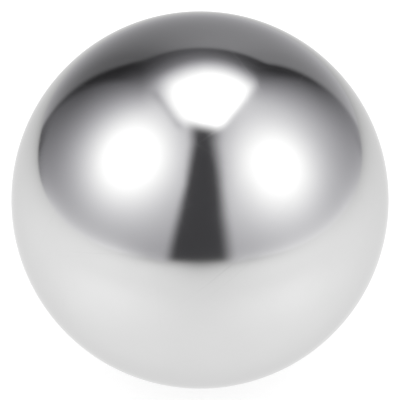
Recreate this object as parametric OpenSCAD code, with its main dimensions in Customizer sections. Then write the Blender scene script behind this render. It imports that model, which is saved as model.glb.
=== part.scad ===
// Precision steel ball: one solid, lapped all over, with no flat, bore or seam.
// The frame's origin is the ball's centre, with +Z up.

/* [Ball] */
// Diameter of the ball in millimetres, a standard metric size
ball_d = 25; // [1:0.5:100]

/* [Hidden] */

// Facets round the equator when the ball is drawn; the ball itself is truly round
round_facets = 180;

// The whole ball, ground and lapped from one forged blank.
module ball() {
    color("silver")
        sphere(d = ball_d, $fn = round_facets);
}

ball();
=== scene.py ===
import math

import bpy
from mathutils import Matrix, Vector


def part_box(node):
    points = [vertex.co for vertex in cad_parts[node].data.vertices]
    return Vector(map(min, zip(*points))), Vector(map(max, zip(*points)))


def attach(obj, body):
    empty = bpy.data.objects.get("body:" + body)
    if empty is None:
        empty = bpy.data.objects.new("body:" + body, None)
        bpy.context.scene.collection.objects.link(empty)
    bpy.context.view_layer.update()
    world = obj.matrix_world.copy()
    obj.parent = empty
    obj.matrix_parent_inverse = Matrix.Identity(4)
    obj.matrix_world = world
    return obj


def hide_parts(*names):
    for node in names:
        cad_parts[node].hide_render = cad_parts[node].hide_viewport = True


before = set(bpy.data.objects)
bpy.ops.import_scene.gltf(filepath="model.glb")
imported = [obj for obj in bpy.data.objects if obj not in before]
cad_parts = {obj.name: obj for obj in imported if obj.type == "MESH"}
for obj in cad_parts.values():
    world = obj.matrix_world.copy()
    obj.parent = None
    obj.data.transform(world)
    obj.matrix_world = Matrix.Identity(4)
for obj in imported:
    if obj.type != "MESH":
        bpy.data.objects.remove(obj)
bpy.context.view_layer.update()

# A polished steel ball on a pale table. What it mirrors is a light tent round it: panels of
# light that only mirrors see, so that the floor and the ball's shadow stay plain.

# The ball stands where the frame has it. Its origin is its centre, and lengths are in ball
# radii from there unless a comment says otherwise: +X to the right, +Y away from the camera,
# +Z up. Angles are in degrees. A soft change from one level to another is given by the place
# of its middle and by its blur, which is its whole width.
LOWEST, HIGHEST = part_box("ball")
RADIUS = (HIGHEST.z - LOWEST.z) / 2
TABLE_Z = -1.0

# Camera; the sensor is in millimetres
CAMERA_ELEVATION = 34.9
CAMERA_DISTANCE = 20.0
BALL_SHARE_OF_FRAME = 0.9445
SENSOR_WIDTH = 36.0
CLIP_START = 0.01
CLIP_END = 200.0

# Ball mesh: squares along each edge of the cube that is pushed out to the sphere
SQUARES = 96
# Empty edge of each side's tile on the texture map, as a share of the tile
MAP_MARGIN = 0.015

# Polished steel: roughness and tone where the haze is thinnest and thickest, the grey that tints
# its mirror at the rim, and the noise that makes the haze: its features to a metre, its detail
# and the range of it that counts
ROUGHNESS = (0.085, 0.125)
TONE = (0.697, 0.683)
EDGE_TINT = 0.83
HAZE_SCALE = 260.0
HAZE_DETAIL = 3.0
HAZE_RANGE = (0.3, 0.7)
# Scratches: layers of pattern cells to a metre and strength. Width and depth are in metres. A
# scratch is full near its cell's point and fades out at its ends, both distances in cells. It
# adds to the roughness and takes from the tone.
HAIRLINES = ((90.0, 1.0), (150.0, 0.8), (260.0, 0.6), (450.0, 0.4))
HAIRLINE_HALF_WIDTH = 25e-6
HAIRLINE_DEPTH = 0.6e-6
HAIRLINE_FULL = 0.3
HAIRLINE_END = 0.62
HAIRLINE_ROUGHNESS = 0.1
HAIRLINE_TONE = 0.02

# Light tent: a box of white cloth round the ball, with a slit in front for the camera. The
# panels are meshes of squares with sides of MESH_STEP. The cloth's colour goes from dim to
# white as its light goes from 0 to BRIGHT_GLOW.
TENT_HALF_WIDTH = 10.1
TENT_FRONT_Y = -18.3
TENT_BACK_Y = 30.0
TENT_TOP_Z = 17.8
MESH_STEP = 0.25
WHITE = (1, 1, 1, 1)
DIM_CLOTH = (1.012, 1.0, 1.075, 1)
BRIGHT_GLOW = 1.3

# The two edges of the slit: x at each length along the cloth, up the front and then back
SLIT_STEPS = (0, 10, 19, 30)
LEFT_SLIT_EDGE = (-5.9, -4.5, -3.6, -1.4)
RIGHT_SLIT_EDGE = (5.4, 5.1, 5.5, 2.9)
LEFT_SLIT_BLUR = 2.7
RIGHT_SLIT_BLUR = 3.7
# The cloth beside the slit is darker: by how much on the left and right, how far out, and past
# what length along the cloth
LEFT_SLIT_SHADE = 0.04
RIGHT_SLIT_SHADE = 0.17
SLIT_SHADE_WIDTH = 3.4
SLIT_SHADE_FROM = 15.7
SLIT_SHADE_BLUR = 15.0

# Lamps behind the cloth, a hot middle and a wide glow on each side, and a halo at the back of
# the top: azimuth, elevation, spread and strength
LEFT_LAMP = (-64.6, 44.2, 17.6, 1.33)
LEFT_SPREAD = (-44, 44, 51.1, 0.67)
RIGHT_LAMP = (63.6, 37.2, 17.2, 1.14)
RIGHT_SPREAD = (48, 44, 60.0, 0.72)
HALO = (175, 69, 14.1, 0.45)

# The lamps' light ends towards the back of the tent: past what y and with what blur on each
# side, and above what height
LEFT_BACK = (7.6, 14.5)
RIGHT_BACK = (8.5, 11.8)
BACK_LOW_Z = 1.2
BACK_LOW_BLUR = 8.7
# Light that the cloth has everywhere
EVEN_LIGHT = 0.011
# Light off the table at the foot of the cloth: how bright it is on each side at these y, below
# 0 where the foot is darker than the cloth above it, and how high it reaches
FOOT_STEPS = (-18, -9, 0, 10)
LEFT_FOOT = (0.23, 0.59, 0.52, -0.1)
RIGHT_FOOT = (0.31, 0.44, 0.51, 0.16)
FOOT_HEIGHT = 0.92
# Painted shadow along the foot of the cloth: past what y, and how much darker and how high it is on
# each side
FOOT_SHADOW_Y = 3.1
FOOT_SHADOW_START_BLUR = 4.0
LEFT_FOOT_SHADOW = (0.61, 0.42)
RIGHT_FOOT_SHADOW = (0.15, 0.79)
# Beside the backdrop each wall is darker with painted shade: by how much and past what y on each
# side, and below what height
LEFT_REAR_SHADE = (0.66, 9.8)
RIGHT_REAR_SHADE = (0.37, 10.9)
REAR_SHADE_BLUR = 2.0
REAR_SHADE_TOP_Z = 14.0
REAR_SHADE_TOP_BLUR = 7.5
# In front of the backdrop's plane a dark line of painted shade lies on the wall: by how much on the
# left and right, how far in front, how wide, and below what height
LEFT_LINE_SHADE = 0.74
RIGHT_LINE_SHADE = 0.33
LINE_SHADE_GAP = 1.7
LINE_SHADE_WIDTH = 1.2
LINE_SHADE_TOP_Z = -0.5
LINE_SHADE_TOP_BLUR = 3.0

# Opening in the top of the tent: x and y of its corners, anticlockwise, and the blur of the edge
# from each corner to the next
WINDOW = (
    (-2.0, -3.05, 3.6), (3.6, -3.8, 2.3), (8.6, 6.3, 11.3), (3.9, 10.7, 11.1), (-5.7, 5.3, 5.2)
)
WINDOW_LIGHT = 2.24
# Dark seam in the cloth along the window's left edge: by how much, how far out, how wide, and the
# blur of its back and front ends, which lie this far past the window's
WINDOW_SEAM = 0.32
WINDOW_SEAM_OUT = 1.6
WINDOW_SEAM_WIDTH = 0.64
WINDOW_SEAM_PAST = 1.0
WINDOW_SEAM_BLURS = (3.0, 2.0)
# Least cover that the top's light is divided by
LEAST_COVER = 0.01

# Backdrop: a grey sheet that leans back behind the ball, from SHEET_Y at the table. Its outline
# gives x and z of its corners as the window's gives x and y, and starts below the table. The
# mesh goes past the outline's greatest x and z by a margin.
GREY_CLOTH = (1.006, 1.0, 1.037, 1)
SHEET_Y = 8.6
SHEET_LEAN = 0.42
SHEET_OUTLINE = (
    (-9.0, -9.0, 0.1), (9.0, -9.0, 1.8), (9.0, 12.7, 2.0), (-7.8, 14.0, 1.6), (-9.4, 9.6, 1.8)
)
SHEET_MARGIN = 1.5
SHEET_LIGHT = 0.582
# It is darker to both sides: by how much to the left and right, and how far out
SHEET_LEFT_SHADE = 0.76
SHEET_RIGHT_SHADE = 0.56
SHEET_SHADE_X = 1.0
SHEET_SHADE_BLUR = 12.8
# Light off the table at its foot: how bright, and how high it reaches
SHEET_FOOT_LIGHT = 0.39
SHEET_FOOT_HEIGHT = 1.9

# The dark room beyond the slit: a dome of columns and rows, down to its lowest elevation
ROOM_RADIUS = 60.0
ROOM_LIGHT = 0.064
ROOM_COLUMNS = 48
ROOM_ROWS = 24
ROOM_LOWEST = -8.0

# Table mesh: rings from the innermost radius to the outermost, in sectors
TABLE_INNER = 0.02
TABLE_OUTER = 90.0
TABLE_RINGS = 128
TABLE_SECTORS = 128
# Table, as the camera sees it: its own white, and the grey of the paint that takes the shadow
TABLE_WHITE = 0.55
TABLE_PAINT = 0.68
# Table, as the ball mirrors it. Its light is less towards the back, and less by TABLE_FALL for
# each radius from the ball out to TABLE_FALL_END.
TABLE_LIGHT = 1.25
TABLE_BACK = 0.45
TABLE_BACK_Y = 3.8
TABLE_BACK_BLUR = 17.2
TABLE_FALL = 0.028
TABLE_FALL_END = 15.0
# A pool of light on each side, just in front of the ball
POOL_X = 1.68
POOL_Y = -1.66
POOL_SIZE = 1.117
POOL_LIGHT = 0.126
# The darker strip from the ball to the slit
STRIP_SHADE = 0.165
STRIP_WIDTH = 2.83
STRIP_START_BLUR = 4.0
# Past the tent's front it fades to what it has in the dark room
TABLE_FRONT_Y = TENT_FRONT_Y - 2.2
TABLE_FRONT_BLUR = 28.8
ROOM_TABLE_LIGHT = 0.15
# Where the ball stands it keeps a share of the light off the table
CONTACT_SHADE = 0.07


def at(x, y, z):
    """A point given in ball radii, in metres."""
    return RADIUS * Vector((x, y, z))


def smooth(x, width):
    """0 to 1 as x passes 0, over the given width, with its middle at 0."""
    t = min(1.0, max(0.0, x / width + 0.5))
    return t * t * (3 - 2 * t)


def hump(x, width):
    """1 where x is 0, falling off softly on both sides."""
    return math.exp(-(x / width) ** 2)


def direction(azimuth, elevation):
    """Unit vector from the ball. Azimuth is from the front, towards +X; both in degrees."""
    a, e = math.radians(azimuth), math.radians(elevation)
    return Vector((math.sin(a) * math.cos(e), -math.cos(a) * math.cos(e), math.sin(e)))


def grey(level):
    """An opaque grey."""
    return level, level, level, 1


def lobe(p, azimuth, elevation, spread, strength):
    """A round soft glow: it falls off with how far p lies from its middle, seen from the ball."""
    gap = math.degrees((p.normalized() - direction(azimuth, elevation)).length)
    return strength * math.exp(-gap * gap / (2 * spread * spread))


# ---------------------------------------------------------------- mesh helpers

def add_mesh(name, points, faces):
    mesh = bpy.data.meshes.new(name)
    mesh.from_pydata(points, [], faces)
    mesh.update()
    mesh.shade_smooth()
    obj = bpy.data.objects.new(name, mesh)
    bpy.context.scene.collection.objects.link(obj)
    return obj


def grid(name, columns, rows, place):
    """A grid of quads; place(s, t) gives a point for s and t from 0 to 1."""
    points = [place(i / columns, j / rows) for j in range(rows + 1) for i in range(columns + 1)]
    faces = []
    for j in range(rows):
        for i in range(columns):
            a = j * (columns + 1) + i
            faces.append((a, a + 1, a + columns + 2, a + columns + 1))
    return add_mesh(name, points, faces)


def flat_sheet(name, corner, along, across):
    """A flat grid from a corner and two sides, all in ball radii."""
    corner, along, across = Vector(corner), Vector(along), Vector(across)
    columns, rows = (math.ceil(side.length / MESH_STEP) for side in (along, across))
    return grid(name, columns, rows, lambda s, t: at(*(corner + s * along + t * across)))


def add_values(obj, name, value_at):
    """A number at each vertex, from the vertex's place in ball radii."""
    layer = obj.data.attributes.new(name, "FLOAT", "POINT")
    for i, vertex in enumerate(obj.data.vertices):
        layer.data[i].value = value_at(vertex.co / RADIUS)


# ---------------------------------------------------------------- node helpers

def new_tree(name):
    material = bpy.data.materials.new(name)
    material.use_nodes = True
    material.node_tree.nodes.clear()
    return material, material.node_tree


def add_node(tree, kind, settings=None, **inputs):
    """A node. An input's name has _ for a space, or is i and a number; its value may be a socket."""
    node = tree.nodes.new(kind)
    for key, value in (settings or {}).items():
        setattr(node, key, value)
    for key, value in inputs.items():
        socket = node.inputs[int(key[1:])] if key[1:].isdigit() else node.inputs[key.replace("_", " ")]
        if isinstance(value, bpy.types.NodeSocket):
            tree.links.new(value, socket)
        else:
            socket.default_value = value
    return node


def maths(tree, operation, a, b=0.0, c=0.0, clamp=False):
    settings = {"operation": operation, "use_clamp": clamp}
    return add_node(tree, "ShaderNodeMath", settings, i0=a, i1=b, i2=c).outputs[0]


def vector_maths(tree, operation, a, b=(0.0, 0.0, 0.0), result="Vector"):
    return add_node(tree, "ShaderNodeVectorMath", {"operation": operation}, i0=a, i1=b).outputs[result]


def ramp(tree, value, zero_at, one_at):
    """0 to 1 as the value goes from zero_at to one_at, and level past either end."""
    return add_node(
        tree, "ShaderNodeMapRange", {"interpolation_type": "SMOOTHSTEP"},
        Value=value, From_Min=zero_at, From_Max=one_at,
    ).outputs[0]


def carry(tree, value, ends, results):
    """From one result to the other, in proportion, as the value goes from end to end."""
    return add_node(
        tree, "ShaderNodeMapRange", Value=value, From_Min=ends[0], From_Max=ends[1],
        To_Min=results[0], To_Max=results[1],
    ).outputs[0]


def attribute(tree, name):
    return add_node(tree, "ShaderNodeAttribute", {"attribute_name": name}).outputs["Fac"]


# ---------------------------------------------------------------- the ball

def cube_sphere(name, radius, squares):
    """A cube of even-angled squares, pushed out to a sphere, with its corners and edges shared.

    Its texture map gives each side of the cube a tile of its own, three across and two up.
    """
    index = {}
    points = []
    faces = []
    map_places = []

    def vertex(key):
        if key not in index:
            steps = [math.tan(math.radians(90 * n / squares - 45)) for n in key]
            index[key] = len(points)
            points.append(radius * Vector(steps).normalized())
        return index[key]

    def in_tile(n):
        return MAP_MARGIN + (1 - 2 * MAP_MARGIN) * n / squares

    for axis in range(3):
        u, v = (axis + 1) % 3, (axis + 2) % 3
        for side in (0, squares):
            turn = ((0, 0), (1, 0), (1, 1), (0, 1)) if side else ((0, 0), (0, 1), (1, 1), (1, 0))
            for i in range(squares):
                for j in range(squares):
                    corners = []
                    for di, dj in turn:
                        key = [0, 0, 0]
                        key[axis], key[u], key[v] = side, i + di, j + dj
                        corners.append(vertex(tuple(key)))
                        tile_x = in_tile(i + di if side else squares - i - di)
                        tile_y = in_tile(j + dj)
                        map_places.append(((axis + tile_x) / 3, (bool(side) + tile_y) / 2))
                    faces.append(corners)
    obj = add_mesh(name, points, faces)
    layer = obj.data.uv_layers.new(name="OFBake")
    for corner, place in zip(layer.data, map_places):
        corner.uv = place
    return obj


def hairlines(tree, place, cells_per_metre):
    """Short scratches along great circles: at most one in each cell of a random pattern."""
    cell = add_node(tree, "ShaderNodeTexVoronoi", Vector=place, Scale=cells_per_metre).outputs
    turn = vector_maths(tree, "SUBTRACT", cell["Color"], (0.5, 0.5, 0.5))
    turn = vector_maths(tree, "NORMALIZE", vector_maths(tree, "CROSS_PRODUCT", turn, cell["Position"]))
    across = vector_maths(tree, "DOT_PRODUCT", place, turn, result="Value")
    line = ramp(tree, maths(tree, "ABSOLUTE", across), HAIRLINE_HALF_WIDTH, 0.0)
    return maths(tree, "MULTIPLY", line, ramp(tree, cell["Distance"], HAIRLINE_END, HAIRLINE_FULL))


def steel():
    """Polished steel: a faint uneven haze from lapping, and sparse hairline scratches."""
    material, tree = new_tree("polished_steel")
    place = add_node(tree, "ShaderNodeTexCoord").outputs["Object"]
    noise = add_node(tree, "ShaderNodeTexNoise", Vector=place, Scale=HAZE_SCALE, Detail=HAZE_DETAIL)
    haze = noise.outputs["Fac"]
    lines = 0.0
    for cells_per_metre, strength in HAIRLINES:
        layer = maths(tree, "MULTIPLY", hairlines(tree, place, cells_per_metre), strength)
        lines = maths(tree, "MAXIMUM", layer, lines)
    dull = carry(tree, haze, HAZE_RANGE, ROUGHNESS)
    tone = carry(tree, haze, HAZE_RANGE, TONE)
    roughness = maths(tree, "MULTIPLY_ADD", lines, HAIRLINE_ROUGHNESS, dull)
    colour = maths(tree, "MULTIPLY_ADD", lines, -HAIRLINE_TONE, tone)
    bump = add_node(tree, "ShaderNodeBump", Strength=1.0, Distance=-HAIRLINE_DEPTH, Height=lines)
    shader = add_node(
        tree, "ShaderNodeBsdfPrincipled", Base_Color=colour, Metallic=1.0, Roughness=roughness,
        Specular_Tint=grey(EDGE_TINT), Normal=bump.outputs[0],
    )
    add_node(tree, "ShaderNodeOutputMaterial", Surface=shader.outputs[0])
    return material


def make_ball():
    ball = cube_sphere("steel_ball", RADIUS, SQUARES)
    ball.data.materials.append(steel())
    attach(ball, "root")
    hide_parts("ball")


# ---------------------------------------------------------------- what the ball mirrors

def glowing_cloth(name, dim, bright):
    """Light of strength "glow", in a colour that follows it, cross-faded to clear by "cover"."""
    material, tree = new_tree(name)
    glow = attribute(tree, "glow")
    colour = add_node(
        tree, "ShaderNodeMix", {"data_type": "RGBA"}, Factor=maths(tree, "DIVIDE", glow, BRIGHT_GLOW),
        i6=dim, i7=bright,
    )
    light = add_node(tree, "ShaderNodeEmission", Color=colour.outputs[2], Strength=glow)
    clear = add_node(tree, "ShaderNodeBsdfTransparent")
    mix = add_node(
        tree, "ShaderNodeMixShader",
        i0=attribute(tree, "cover"), i1=clear.outputs[0], i2=light.outputs[0],
    )
    add_node(tree, "ShaderNodeOutputMaterial", Surface=mix.outputs[0])
    material.cycles.emission_sampling = "NONE"
    return material


def hang(obj, material, glow_at, cover_at):
    """Makes obj part of the studio: only mirrors see it, and it casts no shadow."""
    add_values(obj, "glow", glow_at)
    add_values(obj, "cover", cover_at)
    obj.data.materials.append(material)
    obj.visible_camera = False
    obj.visible_diffuse = False
    obj.visible_shadow = False


def solid(_):
    """Cover of a panel with no opening."""
    return 1.0


def broken_line(x, steps, values):
    """The values at the given steps, joined by straight lines, and level past either end."""
    x = max(x, steps[0])
    for x0, x1, y0, y1 in zip(steps, steps[1:], values, values[1:]):
        if x < x1:
            return y0 + (y1 - y0) * (x - x0) / (x1 - x0)
    return values[-1]


def by_side(p, left, right):
    """What holds on p's side of the ball."""
    return left if p.x < 0 else right


def slit_edges(p):
    """How far a point is along the cloth, up the front and then back, and the slit's edges there."""
    along = p.z - TABLE_Z + p.y - TENT_FRONT_Y
    left = broken_line(along, SLIT_STEPS, LEFT_SLIT_EDGE)
    right = broken_line(along, SLIT_STEPS, RIGHT_SLIT_EDGE)
    return along, left, right


def slit(p):
    """1 in the slit that the camera looks in through, and 0 on the cloth beside it."""
    if p.y > 0:
        return 0.0
    _, left, right = slit_edges(p)
    return smooth(p.x - left, LEFT_SLIT_BLUR) * smooth(right - p.x, RIGHT_SLIT_BLUR)


def slit_shade(p):
    """How much darker the cloth is close beside the slit."""
    if p.y > 0:
        return 0.0
    along, left, right = slit_edges(p)
    beside = max(0.0, by_side(p, left - p.x, p.x - right))
    shade = by_side(p, LEFT_SLIT_SHADE, RIGHT_SLIT_SHADE) * hump(beside, SLIT_SHADE_WIDTH)
    return shade * smooth(along - SLIT_SHADE_FROM, SLIT_SHADE_BLUR)


def lamp_light(p):
    """The two lamps outside the cloth: on each side a hot middle in a wide, weaker glow."""
    middle = by_side(p, LEFT_LAMP, RIGHT_LAMP)
    spread = by_side(p, LEFT_SPREAD, RIGHT_SPREAD)
    return lobe(p, *middle) + lobe(p, *spread)


def foot_light(p):
    """Light off the table on the foot of the cloth."""
    strength = broken_line(p.y, FOOT_STEPS, by_side(p, LEFT_FOOT, RIGHT_FOOT))
    return strength * math.exp((TABLE_Z - p.z) / FOOT_HEIGHT)


def foot_shadow(p):
    """How much the painted shadow along the foot of the cloth darkens it."""
    dark, height = by_side(p, LEFT_FOOT_SHADOW, RIGHT_FOOT_SHADOW)
    return dark * math.exp((TABLE_Z - p.z) / height) * smooth(p.y - FOOT_SHADOW_Y, FOOT_SHADOW_START_BLUR)


def rear_wall_shade(p):
    """How much painted shade darkens each side wall past the backdrop's edge."""
    dark, shade_y = by_side(p, LEFT_REAR_SHADE, RIGHT_REAR_SHADE)
    return dark * smooth(p.y - shade_y, REAR_SHADE_BLUR) * (1 - smooth(p.z - REAR_SHADE_TOP_Z, REAR_SHADE_TOP_BLUR))


def dark_line_shade(p):
    """How much the painted dark line of shade in front of the backdrop's edge darkens the wall."""
    in_front = p.y - SHEET_Y - SHEET_LEAN * (p.z - TABLE_Z) + LINE_SHADE_GAP
    low = 1 - smooth(p.z - LINE_SHADE_TOP_Z, LINE_SHADE_TOP_BLUR)
    return by_side(p, LEFT_LINE_SHADE, RIGHT_LINE_SHADE) * hump(in_front, LINE_SHADE_WIDTH) * low


def tent_light(p):
    """How bright the cloth is: the lamps and the table less its shades, the halo and the rest."""
    back_y, back_blur = by_side(p, LEFT_BACK, RIGHT_BACK)
    lit = 1 - smooth(p.y - back_y, back_blur) * smooth(p.z - BACK_LOW_Z, BACK_LOW_BLUR)
    light = lamp_light(p) * lit + foot_light(p)
    for shade in (foot_shadow, rear_wall_shade, dark_line_shade, slit_shade):
        light *= 1 - shade(p)
    return light + EVEN_LIGHT + lobe(p, *HALO)


def edge_distance(a, b, across, up):
    """How far a point lies to the left of the line from a to b."""
    dx, dy = b[0] - a[0], b[1] - a[1]
    return (dx * (up - a[1]) - dy * (across - a[0])) / math.hypot(dx, dy)


def inside(outline, across, up):
    """1 inside an outline, 0 outside it; each corner also gives the blur of the edge that leaves it."""
    share = 1.0
    for a, b in zip(outline, outline[1:] + outline[:1]):
        share *= smooth(edge_distance(a, b, across, up), a[2])
    return share


def window(p):
    """1 in the opening in the top, 0 on the cloth round it."""
    return inside(WINDOW, p.x, p.y)


def window_seam_shade(p):
    """How much the seam along the window's left edge darkens the cloth."""
    front_left, front_right, _, back, left = WINDOW
    back_blur, front_blur = WINDOW_SEAM_BLURS
    beside = hump(edge_distance(left, front_left, p.x, p.y) + WINDOW_SEAM_OUT, WINDOW_SEAM_WIDTH)
    ends = smooth(edge_distance(back, left, p.x, p.y) + WINDOW_SEAM_PAST, back_blur)
    ends *= smooth(edge_distance(front_left, front_right, p.x, p.y) + WINDOW_SEAM_PAST, front_blur)
    return WINDOW_SEAM * beside * ends


def top_cover(p):
    """The top is open only where the slit runs on outside the window."""
    return 1 - slit(p) * (1 - window(p))


def top_light(p):
    """The window over the cloth, divided by the cover so that their blurred edges add up."""
    share = window(p)
    cloth_light = tent_light(p) * (1 - window_seam_shade(p)) * (1 - slit(p))
    return (WINDOW_LIGHT * share + cloth_light * (1 - share)) / max(LEAST_COVER, top_cover(p))


def make_tent(cloth):
    x, y, z = TENT_HALF_WIDTH, TENT_FRONT_Y, TABLE_Z
    wide, deep, high = (2 * x, 0, 0), (0, TENT_BACK_Y - y, 0), (0, 0, TENT_TOP_Z - z)
    hang(flat_sheet("tent_left", (-x, y, z), deep, high), cloth, tent_light, solid)
    hang(flat_sheet("tent_right", (x, y, z), deep, high), cloth, tent_light, solid)
    hang(flat_sheet("tent_front", (-x, y, z), wide, high), cloth, tent_light, lambda p: 1 - slit(p))
    hang(flat_sheet("tent_top", (-x, y, TENT_TOP_Z), wide, deep), cloth, top_light, top_cover)


def backdrop_light(p):
    """How bright the backdrop is: darker to both sides, and lit at its foot by the table."""
    shade = SHEET_LEFT_SHADE * smooth(-p.x - SHEET_SHADE_X, SHEET_SHADE_BLUR)
    shade += SHEET_RIGHT_SHADE * smooth(p.x - SHEET_SHADE_X, SHEET_SHADE_BLUR)
    foot = SHEET_FOOT_LIGHT * math.exp((TABLE_Z - p.z) / SHEET_FOOT_HEIGHT)
    return SHEET_LIGHT * (1 - shade) + foot


def make_backdrop(cloth):
    half_width = max(x for x, _, _ in SHEET_OUTLINE) + SHEET_MARGIN
    high = max(z for _, z, _ in SHEET_OUTLINE) + SHEET_MARGIN - TABLE_Z
    corner = (-half_width, SHEET_Y, TABLE_Z)
    obj = flat_sheet("backdrop", corner, (2 * half_width, 0, 0), (0, SHEET_LEAN * high, high))
    hang(obj, cloth, backdrop_light, lambda p: inside(SHEET_OUTLINE, p.x, p.z))


def make_room(cloth):
    def place(s, t):
        elevation = ROOM_LOWEST + (90 - ROOM_LOWEST) * t
        return at(*(ROOM_RADIUS * direction(360 * s, elevation)))

    room = grid("dark_room", ROOM_COLUMNS, ROOM_ROWS, place)
    hang(room, cloth, lambda p: ROOM_LIGHT, solid)


def table_light(p):
    """How bright the table looks in the ball."""
    r = math.hypot(p.x, p.y)
    back = TABLE_BACK * smooth(p.y - TABLE_BACK_Y, TABLE_BACK_BLUR)
    pools = 0.0
    for x in (-POOL_X, POOL_X):
        pools += POOL_LIGHT * hump(math.hypot(p.x - x, p.y - POOL_Y), POOL_SIZE)
    strip = STRIP_SHADE * hump(p.x, STRIP_WIDTH) * smooth(-p.y, STRIP_START_BLUR)
    light = TABLE_LIGHT - back + pools - strip - TABLE_FALL * min(r, TABLE_FALL_END)
    light += (ROOM_TABLE_LIGHT - light) * smooth(TABLE_FRONT_Y - p.y, TABLE_FRONT_BLUR)
    return light * (1 - CONTACT_SHADE * (1 + r * r) ** -1.5)


def white_table():
    """Mirrors see the table's glow; the camera sees its own white and the shaded paint."""
    material, tree = new_tree("white_table")
    path = add_node(tree, "ShaderNodeLightPath").outputs
    mirrored = maths(tree, "ADD", path["Is Glossy Ray"], path["Is Transmission Ray"], clamp=True)
    base = maths(tree, "MULTIPLY", path["Is Camera Ray"], TABLE_WHITE)
    white = add_node(tree, "ShaderNodeEmission", Strength=base).outputs[0]
    paint = add_node(tree, "ShaderNodeBsdfDiffuse", Color=grey(TABLE_PAINT)).outputs[0]
    seen = add_node(tree, "ShaderNodeAddShader", i0=white, i1=paint).outputs[0]
    image = add_node(tree, "ShaderNodeEmission", Strength=attribute(tree, "glow")).outputs[0]
    mix = add_node(tree, "ShaderNodeMixShader", i0=mirrored, i1=seen, i2=image).outputs[0]
    add_node(tree, "ShaderNodeOutputMaterial", Surface=mix)
    material.cycles.emission_sampling = "NONE"
    return material


def make_table():
    def place(s, t):
        r = TABLE_INNER * (TABLE_OUTER / TABLE_INNER) ** t
        return at(r * math.cos(2 * math.pi * s), r * math.sin(2 * math.pi * s), TABLE_Z)

    table = grid("table", TABLE_SECTORS, TABLE_RINGS, place)
    add_values(table, "glow", table_light)
    table.data.materials.append(white_table())


def make_world():
    world = bpy.data.worlds.new("white_room")
    bpy.context.scene.world = world
    world.use_nodes = True
    world.node_tree.nodes["Background"].inputs["Color"].default_value = WHITE


def make_camera():
    camera = bpy.data.objects.new("camera", bpy.data.cameras.new("camera"))
    bpy.context.scene.collection.objects.link(camera)
    bpy.context.scene.camera = camera
    half_view = math.tan(math.asin(1 / CAMERA_DISTANCE)) / BALL_SHARE_OF_FRAME
    camera.data.sensor_width = SENSOR_WIDTH
    camera.data.lens = SENSOR_WIDTH / 2 / half_view
    camera.data.clip_start = CLIP_START * RADIUS
    camera.data.clip_end = CLIP_END * RADIUS
    out = direction(0, CAMERA_ELEVATION)
    camera.location = at(*(CAMERA_DISTANCE * out))
    camera.rotation_euler = (-out).to_track_quat("-Z", "Y").to_euler()


bpy.context.scene.view_settings.view_transform = "Standard"
make_camera()
make_ball()
cloth = glowing_cloth("white_cloth", DIM_CLOTH, WHITE)
make_tent(cloth)
make_room(cloth)
make_backdrop(glowing_cloth("grey_cloth", GREY_CLOTH, GREY_CLOTH))
make_table()
make_world()
